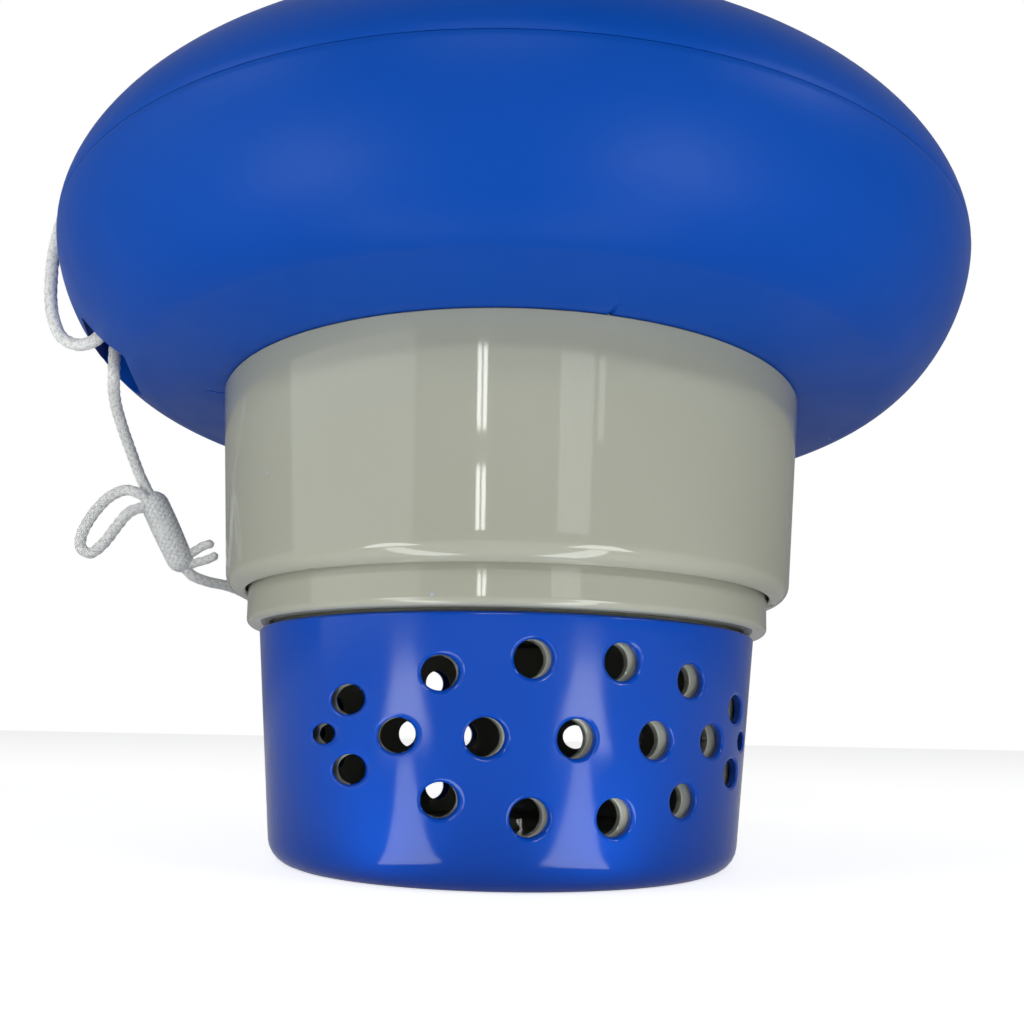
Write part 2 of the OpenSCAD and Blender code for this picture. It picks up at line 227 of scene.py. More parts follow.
def braid_cord_material(name, face, valley_shade, fuzz):
    """White plaited cord: painted shade greys the valleys between plaits, and fine fibres stand off the
    face.
    """
    material, tree, shader = new_material(name, Roughness=0.85, Sheen_Weight=0.35)
    shader.inputs["Sheen Roughness"].default_value = 0.5
    place_in_braid = add_node(tree, "ShaderNodeAttribute", attribute_name="braid")
    coordinates = add_node(tree, "ShaderNodeTexCoord")
    fibres = add_node(tree, "ShaderNodeTexNoise", {
        "Vector": coordinates.outputs["Object"], "Scale": 2600.0, "Detail": 3.0})
    soil = add_node(tree, "ShaderNodeTexNoise", {
        "Vector": coordinates.outputs["Object"], "Scale": 120.0, "Detail": 2.0})
    # Painted shade: the braid's height sets how grey the valleys between plaits are, and the fibre noise
    # adds a random tone.
    height = add_node(tree, "ShaderNodeMath", {
        0: place_in_braid.outputs["Fac"], 1: fibres.outputs["Fac"]}, operation="MULTIPLY_ADD")
    tree.links.new(fibres.outputs["Fac"], height.inputs[2])
    yarn_with_valley_shade = add_node(tree, "ShaderNodeValToRGB", {"Fac": height.outputs[0]})
    yarn_with_valley_shade.color_ramp.elements[0].position = 0.3
    yarn_with_valley_shade.color_ramp.elements[0].color = valley_shade
    yarn_with_valley_shade.color_ramp.elements[1].position = 0.85
    yarn_with_valley_shade.color_ramp.elements[1].color = face
    tint = add_node(tree, "ShaderNodeMix", {
        "Factor": soil.outputs["Fac"], "A": yarn_with_valley_shade.outputs["Color"], "B": (0.86, 0.87, 0.85, 1)},
        data_type="RGBA", blend_type="MULTIPLY")
    tree.links.new(tint.outputs["Result"], shader.inputs["Base Color"])
    bump = add_node(tree, "ShaderNodeBump", {
        "Strength": fuzz, "Distance": 0.00025, "Height": fibres.outputs["Fac"]})
    tree.links.new(bump.outputs["Normal"], shader.inputs["Normal"])
    return material


# The second colour is painted shade for the valleys between the cord's plaits.
braid = braid_cord_material("braided_polyester", (0.8, 0.81, 0.79, 1), (0.42, 0.43, 0.42, 1), 0.6)
cord_path = smooth_path(cord_route + coil_points() + cord_end, 0.0005)
cord = place("braided_cord", braided_tube("tether_cord", cord_path, CORD_D / 2), braid,
             "tether_braid", "tether_cord", "tether_coil")
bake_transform(cord)


# ------------------------------------------------------------------ Pieces on the tether
# The sleeve is a short length of thicker braid that grips the cord, a loop and two cut tails.
# The cord's end is stopped by an overhand knot.
SLEEVE_R = 0.003
SLEEVE_TOP = Vector((-0.078, 0.0081, 0.0754))
SLEEVE_FOOT = Vector((-0.0701, 0.0109, 0.0586))
KNOT = Vector((0, 0.0494, 0.0026))
KNOT_REACH = 0.00068

loop_route = [
    (-0.0772, 0.0072, 0.0732), (-0.0796, 0.0056, 0.0746), (-0.0826, 0.006, 0.0752),
    (-0.086, 0.006, 0.0734), (-0.0887, 0.0056, 0.0698), (-0.0906, 0.0054, 0.0658),
    (-0.0908, 0.0054, 0.0626), (-0.0886, 0.0054, 0.0613), (-0.086, 0.0056, 0.0636),
    (-0.0836, 0.0057, 0.0672), (-0.081, 0.0056, 0.0704), (-0.0776, 0.0072, 0.0722),
]
tail_routes = [
    [(-0.0712, 0.0108, 0.0612), (-0.0686, 0.0108, 0.0629),
     (-0.0665, 0.0108, 0.0643), (-0.0642, 0.0108, 0.065)],
    [(-0.0704, 0.0108, 0.0596), (-0.0678, 0.0108, 0.0606),
     (-0.0656, 0.0108, 0.0613), (-0.0632, 0.0108, 0.0625)],
]


def mesh_from(bm, name):
    """The mesh of what was built in bm."""
    mesh = bpy.data.meshes.new(name)
    bm.to_mesh(mesh)
    bm.free()
    return mesh


def joined(name, meshes):
    """One mesh of several."""
    bm = bmesh.new()
    for mesh in meshes:
        bm.from_mesh(mesh)
    return mesh_from(bm, name)


def barrel(share):
    """The sleeve is fullest a third of the way down."""
    return 1.02 - 0.22 * abs(share - 0.35) ** 1.5


# The second colour is painted shade for the valleys between the sleeve's plaits.
knit = braid_cord_material("knitted_sleeve", (0.76, 0.77, 0.76, 1), (0.36, 0.37, 0.38, 1), 0.9)
sleeve_path = smooth_path([SLEEVE_TOP.lerp(SLEEVE_FOOT, k / 6) for k in range(7)], 0.0003)
sleeve = place("knitted_sleeve", braided_tube(
    "tether_sleeve", sleeve_path, SLEEVE_R, plaits=10, pitch=0.012, sides=80, depth=0.09,
    swell=barrel), knit, "tether_braid", "tether_sleeve", body="float")
loop = place("cord_loop", braided_tube(
    "tether_loop", smooth_path(loop_route, 0.0004), CORD_D / 2), braid,
    "tether_braid", "tether_loop", body="float")
tails = place("cord_tails", joined("tether_tails", [braided_tube(
    "tail", smooth_path(route, 0.0004), CORD_D / 2 - 0.0002) for route in tail_routes]), braid,
    "tether_braid", "tether_tails", body="float")
knot_path = [KNOT + KNOT_REACH * Vector((
    math.sin(t) + 2 * math.sin(2 * t), math.cos(t) - 2 * math.cos(2 * t), -1.4 * math.sin(3 * t)))
    for t in [math.tau * k / 72 for k in range(73)]]
knot = place("end_knot", braided_tube("tether_knot", knot_path, CORD_D / 2 - 0.0001), braid,
             "tether_braid", "tether_knot", body="basket")


# ------------------------------------------------------------------ Coil tie
# A black nylon strap, ribbed across, that goes once round the coil's turns and locks in its head.
TIE_W = 0.004
TIE_T = 0.0006
TIE_CORNER = 0.0016
TIE_RIB = 0.00008
tie_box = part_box("coil_tie")


def strap_outline(low, high, corner, steps=8):
    """A rectangle with round corners in the XZ plane."""
    points = []
    right, left, top, bottom = high.x - corner, low.x + corner, high.z - corner, low.z + corner
    for quarter, (x, z) in enumerate([(right, top), (left, top), (left, bottom), (right, bottom)]):
        centre = Vector((x, 0, z))
        for k in range(steps + 1):
            angle = math.pi / 2 * (quarter + k / steps)
            points.append(centre + corner * Vector((math.cos(angle), 0, math.sin(angle))))
    return points


def even_loop(points, step):
    """A closed outline with extra points along its straights."""
    loop_points = []
    for a, b in zip(points, points[1:] + points[:1]):
        parts = max(1, round((b - a).length / step))
        loop_points += [a.lerp(b, k / parts) for k in range(parts)]
    return loop_points


def strap_mesh(name, low, high):
    """The strap's band, with ribs on its outer face and soft edges."""
    bm = bmesh.new()
    outer = even_loop(strap_outline(low, high, TIE_CORNER), 0.0002)
    middle = (low + high) / 2
    rings = []
    for i, point in enumerate(outer):
        out = (outer[(i + 1) % len(outer)] - outer[i - 1]).cross(Vector((0, 1, 0))).normalized()
        if out.dot(point - middle) < 0:
            out = -out
        rib = TIE_RIB * (math.sin(math.tau * i / 4) - 1)
        section = [(-0.5, -0.1), (-0.46, 0), (-0.34, 0), (-0.3, rib / TIE_T),
                   (0.3, rib / TIE_T), (0.34, 0), (0.46, 0), (0.5, -0.1),
                   (0.5, -0.9), (0.46, -1), (-0.46, -1), (-0.5, -0.9)]
        rings.append([bm.verts.new(point + Vector((0, y * TIE_W, 0)) + z * TIE_T * out)
                      for y, z in section])
    for a, b in zip(rings, rings[1:] + rings[:1]):
        for k in range(len(a)):
            bm.faces.new((a[k - 1], a[k], b[k], b[k - 1]))
    head = bmesh.ops.create_cube(bm, size=1, matrix=Matrix.Translation(
        (high.x - 0.0006, 0, middle.z)) @ Matrix.Diagonal((0.0022, TIE_W * 1.3, 0.0036, 1)))
    edges = list({edge for vertex in head["verts"] for edge in vertex.link_edges})
    bmesh.ops.bevel(bm, geom=edges, offset=0.0004, segments=3, affect="EDGES")
    bmesh.ops.translate(bm, verts=bm.verts, vec=(0, (tie_box[0].y + tie_box[1].y) / 2, 0))
    bmesh.ops.recalc_face_normals(bm, faces=bm.faces)
    mesh = mesh_from(bm, name)
    mesh.shade_smooth()
    mesh.set_sharp_from_angle(angle=math.radians(40))
    return mesh


def new_group(name, takes, gives):
    """An empty shader node group with these sockets, and the sockets of its two end nodes."""
    group = bpy.data.node_groups.new(name, "ShaderNodeTree")
    for socket, kind in takes:
        group.interface.new_socket(socket, in_out="INPUT", socket_type=kind)
    for socket, kind in gives:
        group.interface.new_socket(socket, in_out="OUTPUT", socket_type=kind)
    return group, group.nodes.new("NodeGroupInput").outputs, group.nodes.new("NodeGroupOutput").inputs


# What every moulded face shows: a faint cloud in the colour, an orange peel from the mould,
# uneven gloss, and a few pale specks of dust
moulded_face, given, result = new_group(
    "moulded_face",
    [("Colour", "NodeSocketColor"), ("Cloud Colour", "NodeSocketColor"), ("Gloss", "NodeSocketFloat"),
     ("Gloss Spread", "NodeSocketFloat"), ("Peel Scale", "NodeSocketFloat"),
     ("Peel Depth", "NodeSocketFloat"), ("Dust", "NodeSocketFloat")],
    [("Colour", "NodeSocketColor"), ("Roughness", "NodeSocketFloat"), ("Normal", "NodeSocketVector")])
where = add_node(moulded_face, "ShaderNodeTexCoord").outputs["Object"]
cloud = add_node(moulded_face, "ShaderNodeTexNoise", {"Vector": where, "Scale": 22.0, "Detail": 3.0})
peel = add_node(moulded_face, "ShaderNodeTexNoise", {
    "Vector": where, "Scale": given["Peel Scale"], "Detail": 2.0})
smear = add_node(moulded_face, "ShaderNodeTexNoise", {"Vector": where, "Scale": 75.0, "Detail": 4.0})
dust = add_node(moulded_face, "ShaderNodeTexVoronoi", {
    "Vector": where, "Scale": 170.0, "Randomness": 1.0})
dust_size = add_node(moulded_face, "ShaderNodeMapRange", {
    "Value": dust.outputs["Distance"], "From Min": 0.03, "From Max": 0.06, "To Min": 1.0, "To Max": 0.0})
dust_chance = add_node(moulded_face, "ShaderNodeSeparateColor", {"Color": dust.outputs["Color"]})
dust_here = add_node(moulded_face, "ShaderNodeMath", {
    0: dust_chance.outputs[0], 1: given["Dust"]}, operation="LESS_THAN")
dust_mask = add_node(moulded_face, "ShaderNodeMath", {
    0: dust_size.outputs[0], 1: dust_here.outputs[0]}, operation="MULTIPLY")
body_colour = add_node(moulded_face, "ShaderNodeMix", {
    "Factor": cloud.outputs["Fac"], "A": given["Colour"], "B": given["Cloud Colour"]}, data_type="RGBA")
dusted = add_node(moulded_face, "ShaderNodeMix", {
    "Factor": dust_mask.outputs[0], "A": body_colour.outputs["Result"], "B": (0.32, 0.42, 0.6, 1)},
    data_type="RGBA")
uneven = add_node(moulded_face, "ShaderNodeMapRange", {
    "Value": smear.outputs["Fac"], "From Min": 0.3, "From Max": 0.7, "To Min": -0.5, "To Max": 0.5})
gloss = add_node(moulded_face, "ShaderNodeMath", {
    0: uneven.outputs[0], 1: given["Gloss Spread"], 2: given["Gloss"]}, operation="MULTIPLY_ADD")
peel_bump = add_node(moulded_face, "ShaderNodeBump", {
    "Strength": given["Peel Depth"], "Distance": 0.0001, "Height": peel.outputs["Fac"]})
moulded_face.links.new(dusted.outputs["Result"], result["Colour"])
moulded_face.links.new(gloss.outputs[0], result["Roughness"])
moulded_face.links.new(peel_bump.outputs["Normal"], result["Normal"])


def moulded_material(name, colour, cloud_colour, gloss, spread, peel_scale, peel_depth, dust,
                     **constants):
    """A plastic or rubber with the moulded face."""
    material, tree, shader = new_material(name, **constants)
    face = add_node(tree, "ShaderNodeGroup", node_tree=moulded_face)
    for socket, value in {
        "Colour": (*colour, 1), "Cloud Colour": (*cloud_colour, 1), "Gloss": gloss,
        "Gloss Spread": spread, "Peel Scale": peel_scale, "Peel Depth": peel_depth, "Dust": dust,
    }.items():
        face.inputs[socket].default_value = value
    tree.links.new(face.outputs["Colour"], shader.inputs["Base Color"])
    tree.links.new(face.outputs["Roughness"], shader.inputs["Roughness"])
    tree.links.new(face.outputs["Normal"], shader.inputs["Normal"])
    return material


nylon = moulded_material("black_nylon", (0.018, 0.018, 0.02), (0.03, 0.03, 0.033),
                         0.42, 0.1, 900.0, 0.2, 0.1)
tie = place("tie_strap", strap_mesh("coil_tie", *tie_box), nylon, "tie_black", "coil_tie",
            body="basket")


# ------------------------------------------------------------------ Vent cup
# The blue cup, moulded in glossy polypropylene, snaps on below the basket and turns on a rivet.
# Each of its two windows of round vents is cored from the side, so a window's vents are parallel.
CUP_LOW_R = 0.0458
CUP_RIM_R = 0.0492
CUP_RIM_Z = 0.0442
CUP_ROUND = 0.005
CUP_WALL = 0.0018
CUP_FLOOR_Z = 0.0016
CUP_FLOOR_TOP = 0.0036
CUP_FOOT_IN_R = 0.036
RIVET_BORE_R = 0.0032
WINDOW_AZ = math.radians(14)
VENT_PITCH = math.radians(17.4)
VENT_Z = 0.0245
VENT_FLARE = 0.0008

# Each vent: places along the row in pitches, height above the row, radius
vents = [(k, 0, 0.00315) for k in (-1, 0, 1)]
for s in (-1, 1):
    vents += [(2 * s, 0, 0.00285), (3.05 * s, 0, 0.0017)]
    for h in (-1, 1):
        vents += [(0.5 * s, 0.0124 * h, 0.0031), (1.5 * s, 0.01 * h, 0.00285),
                  (2.65 * s, 0.0057 * h, 0.0025)]


def rounded(corners, closed=True, steps=6, longest=0.0016):
    """An outline of (radius, height) points from corners of (radius, height, rounding)."""
    outline = []
    for i, (r, z, rounding) in enumerate(corners):
        here = Vector((r, z))
        if not rounding:
            outline.append(here)
            continue
        back = (Vector(corners[i - 1][:2]) - here).normalized()
        ahead = (Vector(corners[(i + 1) % len(corners)][:2]) - here).normalized()
        half = back.angle(ahead) / 2
        centre = here + (back + ahead).normalized() * rounding / math.sin(half)
        start = here + back * rounding / math.tan(half) - centre
        end = here + ahead * rounding / math.tan(half) - centre
        turn = math.atan2(start.cross(end), start.dot(end))
        for k in range(steps + 1):
            c, s = math.cos(turn * k / steps), math.sin(turn * k / steps)
            outline.append(centre + Vector((c * start.x - s * start.y, s * start.x + c * start.y)))
    filled = []
    ends = outline[1:] + outline[:1] if closed else outline[1:]
    for a, b in zip(outline, ends):
        parts = max(1, math.ceil((b - a).length / longest))
        filled += [a.lerp(b, k / parts) for k in range(parts)]
    return filled if closed else filled + [outline[-1]]


def turned(name, outline, closed=True, segments=192):
    """The outline turned round the Z axis. An open outline starts and ends on the axis."""
    bm = bmesh.new()
    rings = []
    for r, z in outline:
        count = 1 if r < 1e-6 else segments
        rings.append([bm.verts.new((r * math.cos(math.tau * k / segments),
                                    r * math.sin(math.tau * k / segments), z)) for k in range(count)])
    for a, b in zip(rings, rings[1:] + (rings[:1] if closed else [])):
        for k in range(segments):
            quad = [a[k % len(a)], a[(k + 1) % segments % len(a)],
                    b[(k + 1) % segments % len(b)], b[k % len(b)]]
            bm.faces.new(list(dict.fromkeys(quad)))
    bmesh.ops.recalc_face_normals(bm, faces=bm.faces)
    return mesh_from(bm, name)


def worked(mesh, tool, how="DIFFERENCE"):
    """The mesh with the tool's mesh cut out of it or added to it."""
    stock, cutter = bpy.data.objects.new("stock", mesh), bpy.data.objects.new("cutter", tool)
    for o in (stock, cutter):
        bpy.context.collection.objects.link(o)
    step = stock.modifiers.new("work", "BOOLEAN")
    step.object, step.operation, step.solver = cutter, how, "EXACT"
    done = bpy.data.meshes.new_from_object(
        stock.evaluated_get(bpy.context.evaluated_depsgraph_get()))
    done.name = mesh.name
    for o in (stock, cutter):
        bpy.data.objects.remove(o)
    return done


def place_moulded(name, mesh, material, slot, *nodes, body, crease=35):
    """Places a moulded piece whose broad faces stay even and whose edges stay crisp."""
    mesh.shade_smooth()
    mesh.set_sharp_from_angle(angle=math.radians(crease))
    piece = place(name, mesh, material, slot, *nodes, body=body)
    even = piece.modifiers.new("even_faces", "WEIGHTED_NORMAL")
    even.keep_sharp = True
    return piece


def skin(bm, rings):
    """Faces between the rings of points, and over the first and the last one."""
    for a, b in zip(rings, rings[1:]):
        for k in range(len(a)):
            bm.faces.new((a[k - 1], a[k], b[k], b[k - 1]))
    bm.faces.new(rings[0])
    bm.faces.new(rings[-1][::-1])


def vent_cores(wall_r, flare, shift=0.0, around=40):
    """The cores of all vents. wall_r(z) is the wall's outer radius, flare rounds the vents' edges
    and shift turns them a little round the wall."""
    bm = bmesh.new()
    for window in (0, math.pi):
        pull = Vector((math.sin(WINDOW_AZ + window), -math.cos(WINDOW_AZ + window), 0))
        across = Vector((-pull.y, pull.x, 0))
        for place_in_row, rise, radius in vents:
            z0 = VENT_Z + rise
            s0 = wall_r(z0) * math.sin(place_in_row * VENT_PITCH + shift)
            steps = [(0.012, 0), (flare, 0)]
            steps += [(flare * (1 - math.sin(t)), flare * (1 - math.cos(t)))
                      for t in [math.radians(a) for a in (20, 38, 54, 67, 78)]]
            steps.append((-0.0008, steps[-1][1] + 0.0001))
            rings = []
            for depth, wider in steps:
                ring = []
                for k in range(around):
                    angle = math.tau * k / around
                    s = s0 + (radius + wider) * math.cos(angle)
                    z = z0 + (radius + wider) * math.sin(angle)
                    out = math.sqrt(wall_r(z) ** 2 - s ** 2) - depth
                    ring.append(bm.verts.new(pull * out + across * s + Vector((0, 0, z))))
                rings.append(ring)
            skin(bm, rings)
    bmesh.ops.recalc_face_normals(bm, faces=bm.faces)
    return mesh_from(bm, "vent_cores")


def cup_wall_r(z):
    """Outer radius of the cup's wall, which leans out a little."""
    return CUP_LOW_R + (CUP_RIM_R - CUP_LOW_R) * (z - CUP_ROUND) / (CUP_RIM_Z - CUP_ROUND)


cup_outline = rounded([
    (RIVET_BORE_R, CUP_FLOOR_Z, 0.0003), (CUP_FOOT_IN_R - 0.001, CUP_FLOOR_Z, 0.0004),
    (CUP_FOOT_IN_R, 0, 0.0006), (cup_wall_r(0), 0, CUP_ROUND),
    (CUP_RIM_R, CUP_RIM_Z, 0.0006), (CUP_RIM_R - CUP_WALL, CUP_RIM_Z, 0.0006),
    (cup_wall_r(CUP_FLOOR_TOP) - CUP_WALL, CUP_FLOOR_TOP, 0.0032),
    (RIVET_BORE_R, CUP_FLOOR_TOP, 0.0003)])
glossy_blue = moulded_material("glossy_blue_plastic", (0.0, 0.05, 0.37), (0.0, 0.058, 0.41),
                               0.13, 0.05, 160.0, 0.05, 0.02, IOR=1.5, Specular_IOR_Level=0.3)
cup = place_moulded("cup_body", worked(turned("vent_cup", cup_outline),
                                       vent_cores(cup_wall_r, VENT_FLARE)),
                    glossy_blue, "cup_blue", "vent_cup", body="vent")


# ------------------------------------------------------------------ Basket
# The grey inner tube that holds the tablets. Its cage carries the vents behind the cup's, a web
# widens it to the sleeve that telescopes in the collar, and three lugs stop it at the top.
BASKET_FLOOR_Z = 0.0042
BASKET_FLOOR_TOP = BASKET_FLOOR_Z + 0.002
BASKET_GAP = 0.0005
BASKET_WALL = 0.0018
BASKET_CORNER = 0.0029
BASKET_VENT_FLARE = 0.0003
BASKET_VENT_SHIFT = math.radians(-1.2)
CAGE_LOW_Z = 0.007
SLEEVE_R_OUT = 0.0517
SLEEVE_Z = 0.0448
SLEEVE_TOP_Z = 0.108
SLEEVE_EDGE = 0.0013
STOP_R = 0.0533
STOP_H = 0.003
SEAT_R = 0.051
SEAT_Z = 0.1028
SEAT_HALF = 0.00125
RIVET_R = 0.0028


def basket_wall_r(z):
    """Outer radius of the basket's cage, just inside the cup."""
    return cup_wall_r(z) - CUP_WALL - BASKET_GAP


def sector(name, r_in, r_out, middle, half, z_low, z_high, steps=16):
    """A block cut from a ring, its middle at that angle from +X."""
    bm = bmesh.new()
    rings = []
    for k in range(steps + 1):
        angle = middle + half * (2 * k / steps - 1)
        out = Vector((math.cos(angle), math.sin(angle), 0))
        rings.append([bm.verts.new(out * r + Vector((0, 0, z)))
                      for r, z in ((r_in, z_low), (r_out, z_low), (r_out, z_high), (r_in, z_high))])
    skin(bm, rings)
    bmesh.ops.recalc_face_normals(bm, faces=bm.faces)
    return mesh_from(bm, name)


def toward(degrees):
    """An azimuth counted from -Y towards +X, as an angle from +X."""
    return math.radians(degrees - 90)


web_z = SLEEVE_Z + BASKET_WALL
basket_outline = rounded([
    (RIVET_R, BASKET_FLOOR_Z, 0),
    (basket_wall_r(CAGE_LOW_Z) - 0.0001, BASKET_FLOOR_Z, BASKET_CORNER),
    (basket_wall_r(SLEEVE_Z), SLEEVE_Z, 0.0005), (SLEEVE_R_OUT, SLEEVE_Z, SLEEVE_EDGE),
    (SLEEVE_R_OUT, SEAT_Z - SEAT_HALF, 0.0002), (SEAT_R, SEAT_Z - SEAT_HALF, 0.0002),
    (SEAT_R, SEAT_Z + SEAT_HALF, 0.0002), (SLEEVE_R_OUT, SEAT_Z + SEAT_HALF, 0.0002),
    (SLEEVE_R_OUT, SLEEVE_TOP_Z, 0.0006), (SLEEVE_R_OUT - BASKET_WALL, SLEEVE_TOP_Z, 0.0006),
    (SLEEVE_R_OUT - BASKET_WALL, web_z, 0.0008), (basket_wall_r(web_z) - BASKET_WALL, web_z, 0.0006),
    (basket_wall_r(CAGE_LOW_Z) - BASKET_WALL, BASKET_FLOOR_TOP, 0.0016),
    (RIVET_R, BASKET_FLOOR_TOP, 0.0003)])
stops = joined("stops", [
    sector("stop", SLEEVE_R_OUT - 0.0005, STOP_R, toward(a), math.radians(6),
           SLEEVE_TOP_Z - STOP_H, SLEEVE_TOP_Z - 0.0001) for a in (22, 142, 262)])
basket_mesh = worked(turned("basket", basket_outline),
                     vent_cores(basket_wall_r, BASKET_VENT_FLARE, shift=BASKET_VENT_SHIFT))
housing_grey = moulded_material("glossy_grey_plastic", (0.335, 0.345, 0.275), (0.36, 0.37, 0.30),
                                0.045, 0.02, 140.0, 0.02, 0.05, IOR=1.5)
basket = place_moulded("basket_body", worked(basket_mesh, stops, "UNION"), housing_grey,
                       "housing_grey", "basket", body="basket")


# ------------------------------------------------------------------ Friction ring
# A rubber ring in the sleeve's seat, which holds the sleeve where it is pulled out to.
RING_R = 0.00125
ring_outline = [Vector((SEAT_R + RING_R + RING_R * math.cos(math.tau * k / 16),
                        SEAT_Z + RING_R * math.sin(math.tau * k / 16))) for k in range(16)]
rubber = moulded_material("seal_rubber", (0.02, 0.02, 0.02), (0.035, 0.035, 0.034),
                          0.7, 0.15, 700.0, 0.3, 0.2)
ring = place_moulded("friction_o_ring", turned("friction_ring", ring_outline), rubber,
                     "seal_rubber", "friction_ring", body="basket", crease=80)


# ------------------------------------------------------------------ Rivet and washer
# The cup turns on a snap rivet through the basket's floor, over a thin white nylon washer.
RIVET_HEAD_R = 0.006
RIVET_HEAD_Z = 0.0003
WASHER_Z = 0.0008
WASHER_R = 0.007
WASHER_H = 0.0005
BARB_R = 0.0008
BARB_H = 0.002
rivet_outline = rounded([
    (0, RIVET_HEAD_Z, 0), (RIVET_HEAD_R, RIVET_HEAD_Z, 0.0002), (RIVET_HEAD_R, WASHER_Z, 0.0001),
    (RIVET_R, WASHER_Z, 0), (RIVET_R, BASKET_FLOOR_TOP, 0),
    (RIVET_R + BARB_R, BASKET_FLOOR_TOP, 0.0002),
    (RIVET_R - 0.0006, BASKET_FLOOR_TOP + BARB_H, 0.0004),
    (0, BASKET_FLOOR_TOP + BARB_H, 0)], closed=False, longest=0.001)
rivet = place_moulded("snap_rivet", turned("pivot_rivet", rivet_outline, closed=False, segments=64),
                      housing_grey, "housing_grey", "pivot_rivet", body="basket")
washer_outline = rounded([
    (RIVET_R, WASHER_Z, 0), (WASHER_R, WASHER_Z, 0.0001), (WASHER_R, WASHER_Z + WASHER_H, 0.0001),
    (RIVET_R, WASHER_Z + WASHER_H, 0)], longest=0.001)
white_nylon = moulded_material("white_nylon", (0.72, 0.72, 0.69), (0.66, 0.66, 0.62),
                               0.35, 0.1, 500.0, 0.1, 0.0)
washer = place_moulded("rivet_washer", turned("pivot_washer", washer_outline, segments=64),
                       white_nylon, "washer_white", "pivot_washer", body="basket")


# ------------------------------------------------------------------ Collar
# The grey tube below the float, one moulding with the neck that carries the lid. Its lower edge
# is a thick round lip with three shallow notches, and its neck is slotted for the lid's lugs.
COLLAR_Z = 0.0513
COLLAR_LOW_R = 0.0558
COLLAR_TOP_R = 0.0581
COLLAR_WALL = 0.0019
LIP_BORE_R = 0.0521
LIP_H = 0.0028
LIP_ROUND = 0.003
NOTCH_W = 0.0024
UNDER_Z = 0.09
SEAM_Z = 0.113
TUBE_R = 0.0573
TUBE_BORE_R = 0.0539
NECK_R = 0.0444
NECK_BORE_R = 0.0415
NECK_TOP_Z = 0.131
NECK_FLOOR_Z = 0.1108
LUG_Z = 0.124
LUG_H = 0.0026
LUG_R = 0.0429
LUG_HALF = math.radians(6)
GROOVE_GAP = 0.0004
LOCK_TURN = math.radians(30)
NECK_ROOT_Z = 0.096
FINE_TURN = 288
thirds = (0, math.tau / 3, -math.tau / 3)

collar_outline = rounded([
    (LIP_BORE_R, COLLAR_Z, 0.0008), (COLLAR_LOW_R, COLLAR_Z, LIP_ROUND),
    (COLLAR_TOP_R, UNDER_Z, 0.0003), (TUBE_R, UNDER_Z, 0), (TUBE_R, SEAM_Z, 0.0004),
    (NECK_R, SEAM_Z, 0.0004), (NECK_R, NECK_TOP_Z, 0.0005), (NECK_BORE_R, NECK_TOP_Z, 0.0005),
    (NECK_BORE_R, NECK_FLOOR_Z, 0.0006), (TUBE_BORE_R, NECK_FLOOR_Z, 0.0008),
    (TUBE_BORE_R, NECK_ROOT_Z, 0), (COLLAR_TOP_R - COLLAR_WALL, UNDER_Z, 0),
    (COLLAR_LOW_R - COLLAR_WALL, COLLAR_Z + LIP_H + 0.0004, 0.0006),
    (LIP_BORE_R, COLLAR_Z + LIP_H, 0.0005)])


def round_bar(name, start, end, radius, around=32):
    """A round bar with flat ends."""
    bm = bmesh.new()
    bmesh.ops.create_cone(bm, cap_ends=True, segments=around, radius1=radius, radius2=radius,
                          depth=(end - start).length)
    bm.transform(Matrix.Translation((start + end) / 2)
                 @ (end - start).to_track_quat("Z", "Y").to_matrix().to_4x4())
    return mesh_from(bm, name)


def on_ring(radius, degrees, z):
    """The point at that radius, azimuth and height."""
    return Vector((radius * math.cos(toward(degrees)), radius * math.sin(toward(degrees)), z))


notches = [
    round_bar("notch", on_ring(LIP_BORE_R - 0.002, a, COLLAR_Z),
              on_ring(LIP_BORE_R + 0.0012, a, COLLAR_Z), NOTCH_W / 2) for a in (-38, 82, 202)]
entries = [
    sector("entry", NECK_BORE_R - 0.001, LUG_R + GROOVE_GAP, a, LUG_HALF + 0.017,
           LUG_Z + 0.001, NECK_TOP_Z + 0.002) for a in thirds]
grooves = [
    sector("groove", NECK_BORE_R - 0.002, LUG_R + GROOVE_GAP + 0.0001, a + LOCK_TURN / 2,
           LUG_HALF + 0.035 + LOCK_TURN / 2, LUG_Z - GROOVE_GAP, LUG_Z + LUG_H + GROOVE_GAP)
    for a in thirds]
collar_mesh = turned("collar", collar_outline, segments=FINE_TURN)
for cuts in (notches, entries, grooves):
    collar_mesh = worked(collar_mesh, joined("cuts", cuts))
collar = place_moulded("collar_body", collar_mesh, housing_grey, "housing_grey", "collar", body="float")


# ------------------------------------------------------------------ Float, lower shell
# Half of the hollow ring that carries everything, moulded in satin blue polyethylene. Close to
# its rim is the slot for the tether, and four short slits reach out from the collar's seat.
FLOAT_R = 0.089
CREST_R = 0.049
CREST_Z = 0.14
FLOAT_WALL = 0.0024
WELL_R = 0.0574
WELL_WALL = 0.0022
KNEE_R = 0.0725
KNEE_Z = 0.0918
LOWER_POWER = 1.72
UPPER_POWER = 1.85
SLOT_AZ = -78.5
SLOT_IN_R = 0.0755
SLOT_W = 0.008
SLOT_LEN = 0.024
SLOT_ROUND = 0.0015
SLOT_WALL = 0.0016
SLIT_W = 0.0008
SLIT_LEN = 0.0045
CUT_LOW_Z = 0.08
CUT_HIGH_Z = 0.15
SEAM_EASE = 0.00015


def full_quarter(cr, cz, a, b, power, steps=40):
    """Points of a full, rounded quarter from (cr + a, cz) to (cr, cz + b)."""
    return [Vector((cr + a * math.cos(t) ** (2 / power), cz + b * math.sin(t) ** (2 / power)))
            for t in [math.pi / 2 * k / steps for k in range(steps)]] + [Vector((cr, cz + b))]


